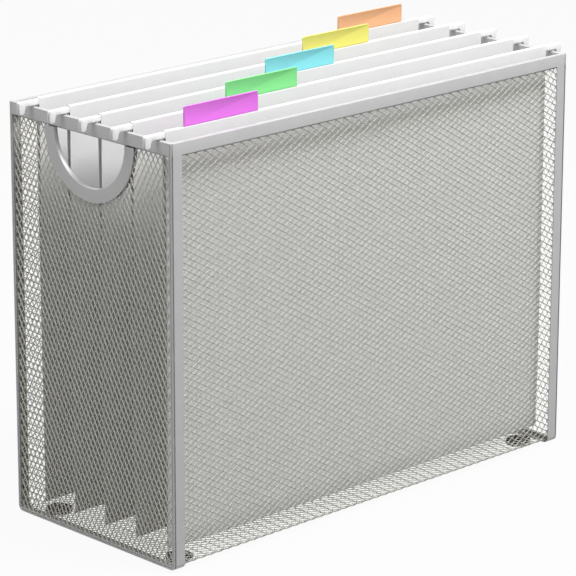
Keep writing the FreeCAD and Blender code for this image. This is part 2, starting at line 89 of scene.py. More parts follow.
class Bench:
    """One mesh piece at a time, shaped with the modelling operators. Takes millimetres."""

    @classmethod
    def focus(cls, piece: Piece) -> None:
        """Select one piece alone and make it active.

        Args:
            piece: the piece.
        """
        cls.clear()
        piece.select_set(True)
        bpy.context.view_layer.objects.active = piece

    @staticmethod
    def clear() -> None:
        """Leave edit mode and deselect everything."""
        active = bpy.context.view_layer.objects.active
        if active is not None and active.mode != "OBJECT":
            bpy.ops.object.mode_set(mode="OBJECT")
        bpy.ops.object.select_all(action="DESELECT")

    @staticmethod
    def named(name: str) -> Piece:
        """Name the newest primitive and its mesh, and bake its place into the mesh.

        Args:
            name: the piece's name.

        Returns:
            The piece.
        """
        piece = bpy.context.active_object
        piece.name = name
        piece.data.name = name
        bpy.ops.object.transform_apply(location=True, rotation=True, scale=True)
        return piece

    @classmethod
    def plane(cls, name: str, centre: Point, size: Pair) -> Piece:
        """Start from a flat rectangle in X and Y.

        Args:
            name: the piece's name.
            centre: its middle.
            size: its extent along X and Y.

        Returns:
            The piece.
        """
        cls.clear()
        bpy.ops.mesh.primitive_plane_add(size=1, location=Vector(centre) * MM)
        bpy.context.active_object.scale = (size[0] * MM, size[1] * MM, 1)
        return cls.named(name)

    @classmethod
    def block(cls, name: str, low: Point, high: Point) -> Piece:
        """Start from a block between two corners.

        Args:
            name: the piece's name.
            low: the lowest corner.
            high: the highest corner.

        Returns:
            The piece.
        """
        cls.clear()
        low_corner, high_corner = Vector(low) * MM, Vector(high) * MM
        bpy.ops.mesh.primitive_cube_add(size=1, location=(low_corner + high_corner) / 2)
        bpy.context.active_object.scale = high_corner - low_corner
        return cls.named(name)

    @staticmethod
    def edit() -> None:
        """Enter edit mode with everything selected."""
        bpy.ops.object.mode_set(mode="EDIT")
        bpy.ops.mesh.select_all(action="SELECT")

    @staticmethod
    def done() -> None:
        """Return to object mode."""
        bpy.ops.object.mode_set(mode="OBJECT")

    @staticmethod
    def pick(kind: Element, test: Test) -> None:
        """Select the elements that pass a test, and nothing else.

        Args:
            kind: what to select.
            test: takes a mesh element, whose places are in metres.
        """
        bpy.context.tool_settings.mesh_select_mode = [kind is element for element in Element]
        bpy.ops.mesh.select_all(action="DESELECT")
        mesh = bpy.context.edit_object.data
        shape = bmesh.from_edit_mesh(mesh)
        elements = (shape.verts, shape.edges, shape.faces)[kind.value]
        found = [element for element in elements if test(element)]
        if not found:
            raise ValueError(f"{mesh.name}: nothing to select")
        for element in found:
            element.select_set(True)
        shape.select_flush_mode()
        bmesh.update_edit_mesh(mesh)

    @classmethod
    def pick_where(cls, kind: Element, test: Test) -> None:
        """Select the elements whose every corner passes a test of its place in millimetres.

        Args:
            kind: what to select.
            test: takes a corner's place.
        """
        if kind is Element.VERTEX:
            cls.pick(kind, lambda corner: test(corner.co / MM))
        else:
            cls.pick(kind, lambda item: all(test(corner.co / MM) for corner in item.verts))

    @classmethod
    def pick_across(cls, least: float, test: Test) -> None:
        """Select the edges that run along Y for more than a length and pass a test of place."""
        cls.pick(
            Element.EDGE,
            lambda edge: abs(edge.verts[0].co.y - edge.verts[1].co.y) > least * MM
            and all(test(corner.co / MM) for corner in edge.verts),
        )

    @staticmethod
    def extrude(x: float = 0.0, y: float = 0.0, z: float = 0.0) -> None:
        """Extrude the selection by a step."""
        step = {"value": (x * MM, y * MM, z * MM)}
        bpy.ops.mesh.extrude_region_move(TRANSFORM_OT_translate=step)

    @staticmethod
    def move(x: float = 0.0, y: float = 0.0, z: float = 0.0) -> None:
        """Move the selection by a step."""
        bpy.ops.transform.translate(value=(x * MM, y * MM, z * MM))

    @staticmethod
    def spin(centre: Point, degrees: float, steps: int) -> None:
        """Spin the selection about a line along X."""
        angle = -math.radians(degrees)
        bpy.ops.mesh.spin(steps=steps, angle=angle, center=Vector(centre) * MM, axis=(1, 0, 0))

    @staticmethod
    def bevel(width: float, segments: int, corners: bool = False) -> None:
        """Round the selected edges, or the selected corners of a flat outline."""
        kind = "VERTICES" if corners else "EDGES"
        bpy.ops.mesh.bevel(offset=width * MM, segments=segments, affect=kind, clamp_overlap=True)

    @staticmethod
    def delete(kind: str) -> None:
        """Delete the selection: VERT, EDGE, FACE or ONLY_FACE."""
        bpy.ops.mesh.delete(type=kind)

    @staticmethod
    def cut(place: Point, normal: Point, drop: bool = True) -> None:
        """Bisect the whole mesh with a plane, and drop what lies beyond it unless told not to."""
        bpy.ops.mesh.select_all(action="SELECT")
        bpy.ops.mesh.bisect(plane_co=Vector(place) * MM, plane_no=normal, clear_outer=drop)

    @staticmethod
    def merge(distance: float = NEAR) -> None:
        """Merge doubles over the whole mesh."""
        bpy.ops.mesh.select_all(action="SELECT")
        bpy.ops.mesh.remove_doubles(threshold=distance * MM)

    @staticmethod
    def face_outwards() -> None:
        """Recalculate the whole mesh's normals."""
        bpy.ops.mesh.select_all(action="SELECT")
        bpy.ops.mesh.normals_make_consistent(inside=False)

    @staticmethod
    def turn_over(outward: Vector, beyond: float) -> None:
        """Flip an open shell if its largest face on the outside looks inwards.

        Args:
            outward: the direction that leads outwards.
            beyond: how far along it the outside begins.
        """
        shape = bmesh.from_edit_mesh(bpy.context.edit_object.data)
        shape.normal_update()
        outside = [f for f in shape.faces if f.calc_center_median().dot(outward) > beyond * MM]
        if max(outside, key=lambda face: face.calc_area()).normal.dot(outward) < 0:
            bpy.ops.mesh.select_all(action="SELECT")
            bpy.ops.mesh.flip_normals()

    @staticmethod
    def modify(piece: Piece, kind: str, **settings: Any) -> None:
        """Add a modifier with its settings and apply it.

        Args:
            piece: the piece.
            kind: the modifier's type.
            settings: the values of its properties.
        """
        bpy.context.view_layer.objects.active = piece
        modifier = piece.modifiers.new(kind.title(), kind)
        for key, setting in settings.items():
            setattr(modifier, key, setting)
        bpy.ops.object.modifier_apply(modifier=modifier.name)

    @classmethod
    def smooth(cls, piece: Piece, degrees: float = 38.0) -> None:
        """Shade the piece smooth across edges flatter than an angle."""
        cls.focus(piece)
        bpy.ops.object.shade_smooth_by_angle(angle=math.radians(degrees))

    @classmethod
    def copy(cls, piece: Piece, name: str, x: float, y: float) -> Piece:
        """Copy a piece with its own mesh, moved by a step.

        Args:
            piece: the piece to copy.
            name: the copy's name.
            x: the step along X.
            y: the step along Y.

        Returns:
            The copy.
        """
        cls.focus(piece)
        bpy.ops.object.duplicate(linked=False)
        twin = bpy.context.active_object
        twin.name = name
        twin.data.name = name
        twin.data.transform(Matrix.Translation(Vector((x, y, 0)) * MM))
        return twin


# ---- shader maths


def operator(operation: str, swapped: bool = False) -> Callable[["Wire", Any], "Wire"]:
    """Make one of a wire's operators.

    Args:
        operation: the Math node's operation.
        swapped: whether the other value comes first.

    Returns:
        The operator.
    """
    if swapped:
        return lambda wire, other: wire.combine(operation, other, wire)
    return lambda wire, other: wire.combine(operation, wire, other)


class Wire:
    """A shader value that Python's operators can work on."""

    def __init__(self, graph: "Graph", socket: bpy.types.NodeSocket) -> None:
        """Wrap one output socket of a graph."""
        self.graph = graph
        self.socket = socket

    def combine(self, operation: str, first: Any, second: Any) -> "Wire":
        """Add one Math node on two values."""
        return self.graph.node("ShaderNodeMath", {"operation": operation}, {0: first, 1: second})

    __add__ = __radd__ = operator("ADD")
    __sub__ = operator("SUBTRACT")
    __rsub__ = operator("SUBTRACT", swapped=True)
    __mul__ = operator("MULTIPLY")
    __truediv__ = operator("DIVIDE")
    __pow__ = operator("POWER")

    def closeness(self, centre: float, width: float) -> "Wire":
        """A value of 1 at a centre that falls to 0 at a distance of the width."""
        apart = self.combine("ABSOLUTE", self - centre, 0.0)
        return 1 - self.combine("MINIMUM", apart / width, 1.0)


class Graph:
    """One material's or world's node tree, started empty."""

    def __init__(self, owner: bpy.types.ID) -> None:
        """Open the owner's node tree and empty it.

        Args:
            owner: the material or world.
        """
        owner.use_nodes = True
        self.tree = owner.node_tree
        self.tree.nodes.clear()

    def node(
        self,
        kind: str,
        settings: dict[str, Any] | None = None,
        inputs: dict[str | int, Any] | None = None,
        output: str | int = 0,
    ) -> Wire:
        """Add a node.

        Args:
            kind: the node's type.
            settings: its properties.
            inputs: numbers, colours or wires for its sockets.
            output: the socket that the wire is taken from.

        Returns:
            The wire of that output.
        """
        made = self.tree.nodes.new(kind)
        for key, setting in (settings or {}).items():
            setattr(made, key, setting)
        for key, given in (inputs or {}).items():
            if isinstance(given, Wire):
                self.tree.links.new(given.socket, made.inputs[key])
            else:
                made.inputs[key].default_value = given
        return Wire(self, made.outputs[output] if made.outputs else None)


def linear(red: float, green: float, blue: float) -> Colour:
    """A colour in scene light from its screen values.

    Args:
        red: from 0 to 255.
        green: from 0 to 255.
        blue: from 0 to 255.

    Returns:
        The colour.
    """

    def one(level: float) -> float:
        """One channel in scene light."""
        level /= 255
        return level / 12.92 if level <= 0.04045 else ((level + 0.055) / 1.055) ** 2.4

    return one(red), one(green), one(blue)


def scaled(colour: Colour, factor: float) -> Colour:
    """A colour made darker or lighter."""
    return tuple(min(1.0, channel * factor) for channel in colour)


# ---- finishes


@dataclass(frozen=True)
class Layer:
    """One noise of a finish: its grain in millimetres, and its weight in each of three sums."""

    grain: float
    detail: float = 2.0
    decay: float = 0.5
    stretch: Point = (1.0, 1.0, 1.0)
    tone: float = 0.0
    rough: float = 0.0
    relief: float = 0.0

    def noise(self, graph: Graph, place: Wire) -> Wire:
        """Noise from 0 to 1, with grains of about the layer's size."""
        values = {
            "Vector": graph.node("ShaderNodeMapping", inputs={0: place, "Scale": self.stretch}),
            "Scale": 1 / (self.grain * MM),
            "Detail": self.detail,
            "Roughness": self.decay,
        }
        return graph.node("ShaderNodeTexNoise", inputs=values)


@dataclass(frozen=True)
class Finish:
    """A procedural surface: layers of noise that shade, roughen and emboss one colour.

    Tones are the darkest and the lightest against the colour. Emboss is the relief's strength
    and its height. Scores are the heights of lines pressed along X, darkened in colour as
    painted shade in their grooves.
    """

    name: str
    colour: Colour
    layers: tuple[Layer, ...]
    tones: Pair
    roughness: float
    emboss: Pair
    tone_power: float = 1.0
    metallic: float = 0.0
    specular: float = 0.5
    scores: tuple[float, ...] = ()
    score_width: float = 0.45
    score_painted_shade: float = 0.35
    score_relief: float = 0.9

    def make(self) -> Material:
        """Build the material.

        Returns:
            The material.
        """
        material = bpy.data.materials.new(self.name)
        graph = Graph(material)
        place = graph.node("ShaderNodeTexCoord", output="Object")
        tone, rough, relief = 0.0, self.roughness, 0.0
        for layer in self.layers:
            noise = layer.noise(graph, place)
            tone = tone + noise * layer.tone if layer.tone else tone
            rough = rough + noise * layer.rough if layer.rough else rough
            relief = relief + noise * layer.relief if layer.relief else relief
        if self.tone_power != 1.0:
            tone = tone ** self.tone_power
        if self.scores:
            level = graph.node("ShaderNodeSeparateXYZ", inputs={0: place}, output="Z") / MM
            lines = sum(level.closeness(score, self.score_width) for score in self.scores)
            # Painted shade: the pressed score lines are darkened in colour, as if shaded in their
            # grooves.
            tone = tone - lines * self.score_painted_shade
            relief = relief - lines * self.score_relief
        dark, light = (scaled(self.colour, factor) for factor in self.tones)
        mix = {"data_type": "RGBA", "clamp_factor": True}
        shades = {0: tone, 6: (*dark, 1), 7: (*light, 1)}
        strength, height = self.emboss
        bump = {"Height": relief, "Strength": strength, "Distance": height * MM}
        inputs = {
            "Base Color": graph.node("ShaderNodeMix", mix, shades, output=2),
            "Metallic": self.metallic,
            "Roughness": rough,
            "Specular IOR Level": self.specular,
            "Normal": graph.node("ShaderNodeBump", inputs=bump),
        }
        shader = graph.node("ShaderNodeBsdfPrincipled", inputs=inputs)
        graph.node("ShaderNodeOutputMaterial", inputs={"Surface": shader})
        return material


POWDER_COAT = Finish(
    name="silver_powder_coat",
    colour=linear(197, 197, 197),
    layers=(
        Layer(0.35, detail=1.0, tone=0.6, rough=0.08, relief=0.55),
        Layer(9.0, detail=3.0, tone=0.4, rough=0.1),
        Layer(1.1, relief=0.45),
    ),
    tones=(0.86, 1.14),
    roughness=0.34,
    emboss=(0.35, 0.05),
    metallic=0.15,
)
FOLDER_PAPER = Finish(
    name="folder_paper",
    colour=linear(232, 232, 232),
    layers=(
        Layer(14.0, detail=4.0, tone=0.45, rough=0.12),
        Layer(1.4, detail=5.0, decay=0.65, stretch=(1.0, 1.0, 3.5), tone=0.55, relief=0.25),
        Layer(0.28, relief=0.35),
    ),
    tones=(0.93, 1.05),
    roughness=0.78,
    emboss=(0.3, 0.12),
    specular=0.3,
    scores=(17.5, 23.5, 29.5),
)
HOOK_PLASTIC = Finish(
    name="hook_plastic",
    colour=linear(250, 250, 250),
    layers=(
        Layer(8.0, detail=3.0, stretch=(0.35, 1.0, 1.0), tone=0.7),
        Layer(0.4, tone=0.3, rough=0.1, relief=1.0),
    ),
    tones=(0.95, 1.04),
    roughness=0.33,
    emboss=(0.2, 0.03),
)
STRIP_STEEL = Finish(
    name="strip_steel",
    colour=linear(176, 177, 180),
    layers=(
        Layer(0.3, detail=3.0, stretch=(0.02, 1.0, 1.0), tone=0.5, rough=0.2, relief=1.0),
        Layer(20.0, detail=3.0, tone=0.5),
    ),
    tones=(0.8, 1.1),
    roughness=0.28,
    emboss=(0.2, 0.02),
    metallic=0.9,
)
FOOT_RUBBER = Finish(
    name="foot_rubber",
    colour=linear(40, 40, 41),
    layers=(Layer(3.0, detail=5.0, tone=1.0, rough=0.25), Layer(0.3, relief=1.0)),
    tones=(0.7, 1.7),
    roughness=0.62,
    emboss=(0.35, 0.06),
    tone_power=2.0,
)


class TabColour(Enum):
    """The folders' tabs, front to rear: folder, slot name and screen colour."""

    PURPLE = (1, "tab_purple", (238, 122, 240))
    GREEN = (2, "tab_green", (140, 240, 150))
    CYAN = (3, "tab_cyan", (142, 235, 243))
    YELLOW = (4, "tab_yellow", (248, 241, 122))
    ORANGE = (5, "tab_orange", (249, 188, 140))


# ---- the steel box


@dataclass
class BoxSizes:
    """The outside of the steel box and of its folded strips."""

    length: float = 317.5
    depth: float = 136.0
    crest: float = 246.5
    low: float = 1.5
    rim_height: float = 7.0
    strip: float = 3.0
    bend: float = 3.6

    @property
    def rim_low(self) -> float:
        """Lower edge of the rim."""
        return self.crest - self.rim_height


@dataclass
class ExpandedMesh:
    """Expanded steel: diamonds whose strands all lean the same way out of the sheet.

    hidden and top_hidden are how far its edges stop short of the strips' outside.
    """

    box: BoxSizes
    finish: Material
    long_way: float = 6.64
    short_way: float = 3.83
    strand: float = 0.44
    gap_end: float = 0.9
    lean: float = 0.23
    sheet: float = 0.24
    hidden: float = 1.2
    top_hidden: float = 1.3
    cut_out: float = 33.0

    def ring(self, name: str, lean: float) -> Piece:
        """Model one diamond: half strands round a gap that is cut square at its two ends.

        Args:
            name: the piece's name.
            lean: how far a strand's upper edge stands towards +Z.

        Returns:
            The ring about the origin, in the XY plane.
        """
        long_half, short_half = self.long_way / 2, self.short_way / 2
        gap = 1 - self.strand * math.hypot(long_half, short_half) / (2 * long_half * short_half)
        Bench.clear()
        bpy.ops.mesh.primitive_circle_add(vertices=6, radius=short_half * MM, fill_type="NGON")
        ring = Bench.named(name)
        Bench.edit()
        bpy.ops.mesh.inset(thickness=self.strand / 2 * MM)
        Bench.delete("FACE")
        Bench.done()
        for corner in ring.data.vertices:
            inner = corner.co.length < (short_half - NEAR) * MM
            right = math.copysign(1.0, corner.co.x) if abs(corner.co.x) > TOUCH else 0.0
            upper = math.copysign(1.0, corner.co.y)
            if inner:
                share = self.gap_end if right else 0.0
                x, y = right * share * gap * long_half, upper * (1 - share) * gap * short_half
                place = (x, y, -upper * lean)
            else:
                place = (right * long_half, 0.0 if right else upper * short_half, 0.0)
            corner.co = Vector(place) * MM
        return ring

    def diamonds(self, name: str, low: Pair, high: Pair, start: Pair, lean: float) -> Piece:
        """Fill a flat window with diamonds, their long way along X.

        Args:
            name: the piece's name.
            low: the window's lower corner.
            high: the window's upper corner.
            start: the middle of any one diamond, which sets the pattern's place.
            lean: how far a strand's upper edge stands towards +Z.

        Returns:
            The sheet, in the XY plane and not yet thick.
        """
        pitch = (self.long_way, self.short_way)
        first = [s + p * (math.floor((b - s) / p) - 0.5) for b, s, p in zip(low, start, pitch)]
        count = [math.ceil((h - f) / p) + 1 for h, f, p in zip(high, first, pitch)]
        sheet = self.ring(name, lean)
        Bench.edit()
        Bench.move(x=first[0], y=first[1])
        half = (pitch[0] / 2 * MM, pitch[1] / 2 * MM, 0)
        bpy.ops.mesh.duplicate_move(TRANSFORM_OT_translate={"value": half})
        Bench.done()
        for axis in (0, 1):
            Bench.modify(
                sheet,
                "ARRAY",
                count=count[axis],
                use_relative_offset=False,
                use_constant_offset=True,
                constant_offset_displace=along(axis, pitch[axis] * MM),
            )
        Bench.edit()
        Bench.merge()
        for axis in (0, 1):
            Bench.cut((*high, 0), along(axis, 1))
            Bench.cut((*low, 0), along(axis, -1))
        Bench.done()
        return sheet

    def thicken(self, sheet: Piece) -> Piece:
        """Give a sheet its thickness and finish.

        Args:
            sheet: the flat sheet.

        Returns:
            The same sheet.
        """
        Bench.modify(sheet, "SOLIDIFY", thickness=self.sheet * MM, offset=0.0)
        sheet.data.materials.append(self.finish)
        return sheet

    @staticmethod
    def stand(sheet: Piece, turn: Point, place: Point) -> None:
        """Turn a flat sheet and move it to its place.

        Args:
            sheet: the sheet.
            turn: the degrees about X, Y and Z.
            place: where its origin goes.
        """
        Bench.focus(sheet)
        sheet.rotation_euler = [math.radians(t) for t in turn]
        sheet.location = Vector(place) * MM
        bpy.ops.object.transform_apply(location=True, rotation=True, scale=True)

    def wrapped(self) -> list[Piece]:
        """Build the sheet that is front, floor and rear in one, split at its bends.

        Returns:
            The floor with both bends, the front and the rear.
        """
        box = self.box
        middle = box.strip / 2
        radius = box.bend - middle
        flat = box.depth / 2 - box.bend
        arc = radius * math.pi / 2
        reach = box.length / 2 - self.hidden
        half = flat + arc
        corners = (-reach, -half), (reach, half)
        floor = self.diamonds("mesh_floor_sheet", *corners, (0, 0), -self.lean)
        for corner in floor.data.vertices:
            beyond = abs(corner.co.y) / MM - flat
            if beyond > 0:
                side = math.copysign(1.0, corner.co.y)
                angle = beyond / radius
                off = radius - corner.co.z / MM
                corner.co.y = side * (flat + math.sin(angle) * off) * MM
                corner.co.z = (radius - math.cos(angle) * off) * MM
        self.stand(floor, (0, 0, 0), (0, 0, box.low + middle))
        bend_top = box.low + box.bend
        start = (0, bend_top - half)
        low, high = (-reach, bend_top), (reach, box.crest - self.top_hidden)
        walls = []
        for name, side in (("front", -1), ("rear", 1)):
            wall = self.diamonds(f"mesh_{name}_sheet", low, high, start, self.lean)
            self.stand(wall, (90, 0, 0), (0, side * (box.depth / 2 - middle), 0))
            walls.append(wall)
        return [self.thicken(sheet) for sheet in (floor, *walls)]

    def end(self, name: str, side: int) -> Piece:
        """Build an end's panel, its long way upright, open inside the handle's trim.

        Args:
            name: left or right.
            side: -1 for the left end, 1 for the right.

        Returns:
            The panel.
        """
        box = self.box
        low, high = box.low + self.hidden, box.crest - self.top_hidden
        reach = box.depth / 2 - self.hidden
        lean = -side * self.lean
        panel = self.diamonds(f"mesh_{name}_panel", (low, -reach), (high, reach), (low, 0), lean)
        Bench.edit()
        Bench.pick_where(
            Element.VERTEX, lambda c: math.hypot(c.x - box.rim_low, c.y) < self.cut_out
        )
        Bench.delete("VERT")
        Bench.done()
        self.stand(panel, (0, -90, 0), (side * (box.length / 2 - box.strip / 2), 0, 0))
        return self.thicken(panel)

    def build(self) -> None:
        """Build the five sheets and put them on the box."""
        for sheet, node in zip(self.wrapped(), ("mesh_floor", "mesh_front", "mesh_rear")):
            settle(sheet, "box", "silver_steel", node)
        for name, side in (("left", -1), ("right", 1)):
            settle(self.end(name, side), "box", "silver_steel", f"mesh_{name}")


@dataclass(frozen=True)
class Groove:
    """A groove along a corner: its distance from it, half its width and its depth."""

    place: float
    mouth: float
    depth: float


@dataclass
class FoldedStrips:
    """The rim, the two end frames and the two handle trims, all folded from sheet.

    The end frame's section is its closed outline: how far each of its points is behind the
    front face and inside the end face.
    """

    box: BoxSizes
    finish: Material
    sheet: float = 0.25
    corner: float = 0.3
    rim_round: float = 0.8
    fold: float = 0.6
    inner_lip: float = 8.6
    sharp: float = 1.2
    corner_seam: Groove = Groove(0.85, 0.5, 0.8)
    side_seam: Groove = Groove(1.4, 0.22, 0.4)
    end_section: tuple[Pair, ...] = (
        (0.0, 7.8), (0.0, 1.25), (1.5, 1.25), (1.5, 0.95), (0.75, 0.3), (0.0, 0.3),
        (0.12, 0.08), (0.35, 0.0), (1.15, 0.0), (1.25, 0.4), (1.5, 0.4), (1.6, 0.0),
        (2.2, 0.0), (2.2, 0.45), (1.9, 0.6), (1.9, 1.7), (0.45, 1.7), (0.45, 7.8),
    )
    bend_steps: int = 6
    trim_steps: int = 36
    trim_gap: float = 1.0
    handle_inner: float = 29.5
    handle_outer: float = 37.5

    def close(self, strip: Piece) -> Piece:
        """Give a folded strip the sheet's thickness on its inner side, and its finish.

        Args:
            strip: the strip.

        Returns:
            The same strip.
        """
        thickness = self.sheet * MM
        Bench.modify(strip, "SOLIDIFY", thickness=thickness, offset=-1.0, use_even_offset=True)
        Bench.smooth(strip)
        strip.data.materials.append(self.finish)
        return strip

    def rim(self) -> Piece:
        """Build the rim: a strip folded over the mesh's edge, all the way round.

        Returns:
            The rim.
        """
        box = self.box
        x, y = box.length / 2, box.depth / 2
        rim = Bench.block("rim", (-x, -y, box.rim_low), (x, y, box.crest))
        top = box.crest - NEAR
        inside_x, inside_y = x - box.strip / 2, y - box.strip / 2
        Bench.edit()
        Bench.pick_where(Element.FACE, lambda c: c.z > top)
        bpy.ops.mesh.inset(thickness=box.strip * MM)
        Bench.delete("FACE")
        Bench.pick_where(Element.FACE, lambda c: c.z < box.rim_low + NEAR)
        Bench.delete("FACE")
        Bench.pick_where(
            Element.EDGE, lambda c: c.z > top and abs(c.x) < inside_x and abs(c.y) < inside_y
        )
        Bench.extrude(z=-self.inner_lip)
        Bench.pick(
            Element.EDGE,
            lambda e: all(
                abs(abs(v.co.x) - x * MM) < TOUCH and abs(abs(v.co.y) - y * MM) < TOUCH
                for v in e.verts
            )
            and abs(e.verts[0].co.z - e.verts[1].co.z) > box.rim_height / 2 * MM,
        )
        Bench.bevel(self.corner, 3)
        Bench.pick(
            Element.EDGE,
            lambda e: all(v.co.z > top * MM for v in e.verts)
            and e.is_manifold
            and e.calc_face_angle(0.0) > self.sharp,
        )
        Bench.bevel(self.rim_round, 4)
        for seam, axis in ((self.corner_seam, 0), (self.side_seam, 1)):
            self.score_rim(seam, axis)
        Bench.done()
        return self.close(rim)

    def score_rim(self, seam: Groove, axis: int) -> None:
        """Press one groove beside each corner of the rim in edit mode.

        Args:
            seam: the groove.
            axis: 0 for the grooves in the long faces, 1 for those in the end faces.
        """
        half = (self.box.length / 2, self.box.depth / 2)
        for side in (-1, 1):
            for off in (-seam.mouth, 0.0, seam.mouth):
                point = along(axis, side * (half[axis] - seam.place - off))
                Bench.cut(point, along(axis, 1), drop=False)
        across = 1 - axis
        skin = half[across] - self.rim_round - NEAR
        bottom = half[axis] - seam.place
        Bench.pick_where(
            Element.VERTEX, lambda c: abs(abs(c[axis]) - bottom) < NEAR and abs(c[across]) > skin
        )
        shrink = [1.0, 1.0, 1.0]
        shrink[across] = (half[across] - seam.depth) / half[across]
        bpy.ops.transform.resize(value=shrink, center_override=(0, 0, 0))

    @staticmethod
    def outline(name: str, points: list[Point]) -> Piece:
        """Start a strip from its section's closed outline.

        Args:
            name: the piece's name.
            points: the outline's corners.

        Returns:
            The piece in edit mode, with its outline selected.
        """
        Bench.clear()
        bpy.ops.mesh.primitive_circle_add(vertices=len(points), radius=MM, fill_type="NOTHING")
        piece = Bench.named(name)
        for corner, point in zip(piece.data.vertices, points):
            corner.co = Vector(point) * MM
        Bench.edit()
        return piece

    def profile(self, name: str, low: Pair, high: Pair, top: float, mouth: Test) -> Piece:
        """Start a strip from its folded section.

        Args:
            name: the piece's name.
            low: the section's lower corner in X and Y.
            high: its upper corner.
            top: the section's height.
            mouth: tells the two corners at the open side.

        Returns:
            The piece in edit mode, with its section's edges selected.
        """
        middle = ((low[0] + high[0]) / 2, (low[1] + high[1]) / 2, top)
        piece = Bench.plane(name, middle, (high[0] - low[0], high[1] - low[1]))
        Bench.edit()
        Bench.pick_where(Element.VERTEX, lambda c: not mouth(c))
        Bench.bevel(self.fold, 3, corners=True)
        Bench.pick(Element.FACE, lambda f: True)
        Bench.delete("ONLY_FACE")
        Bench.pick_where(Element.EDGE, mouth)
        Bench.delete("EDGE")
        Bench.pick(Element.EDGE, lambda e: True)
        return piece

    def end_frame(self, name: str, side: int) -> Piece:
        """Build the channel that runs down the front, along the floor and up the rear.

        Args:
            name: left or right.
            side: -1 for the left end, 1 for the right.

        Returns:
            The end frame.
        """
        box = self.box
        y = box.depth / 2
        points = [
            (side * (box.length / 2 - inset), behind - y, box.rim_low)
            for behind, inset in self.end_section
        ]
        piece = self.outline(f"end_frame_{name}_strip", points)
        drop = box.rim_low - box.low - box.bend
        bend_z = box.low + box.bend
        Bench.extrude(z=-drop)
        Bench.spin((0, box.bend - y, bend_z), 90, self.bend_steps)
        Bench.extrude(y=box.depth - 2 * box.bend)
        Bench.spin((0, y - box.bend, bend_z), 90, self.bend_steps)
        Bench.extrude(z=drop)
        Bench.merge()
        for half in (-1, 1):
            Bench.pick(
                Element.EDGE, lambda e: e.is_boundary and all(v.co.y * half > 0 for v in e.verts)
            )
            bpy.ops.mesh.edge_face_add()
        Bench.face_outwards()
        Bench.done()
        Bench.smooth(piece)
        piece.data.materials.append(self.finish)
        return piece

    def handle_trim(self, name: str, side: int) -> Piece:
        """Build the half ring that edges a handle's opening.

        Args:
            name: left or right.
            side: -1 for the left end, 1 for the right.

        Returns:
            The ring.
        """
        box = self.box
        xs = sorted((side * box.length / 2, side * (box.length / 2 - box.strip)))
        top = box.rim_low - self.trim_gap
        piece = self.profile(
            f"handle_trim_{name}_ring",
            (xs[0], -self.handle_outer),
            (xs[1], -self.handle_inner),
            top,
            lambda c: abs(c.y + self.handle_outer) < NEAR,
        )
        Bench.extrude(z=-NEAR)
        Bench.pick_where(Element.EDGE, lambda c: c.z < top - NEAR / 2)
        Bench.spin((0, 0, top - NEAR), 180, self.trim_steps)
        Bench.merge()
        Bench.face_outwards()
        Bench.turn_over(Vector((side, 0, 0)), box.length / 2 - NEAR)
        Bench.done()
        return self.close(piece)

    def build(self) -> None:
        """Build every strip and put it on the box."""
        nodes = ("rim_front", "rim_rear", "rail_left", "rail_right")
        settle(self.rim(), "box", "silver_steel", *nodes)
        for name, side in (("left", -1), ("right", 1)):
            settle(self.end_frame(name, side), "box", "silver_steel", f"end_frame_{name}")
            settle(self.handle_trim(name, side), "box", "silver_steel", f"handle_trim_{name}")


# ---- the folders


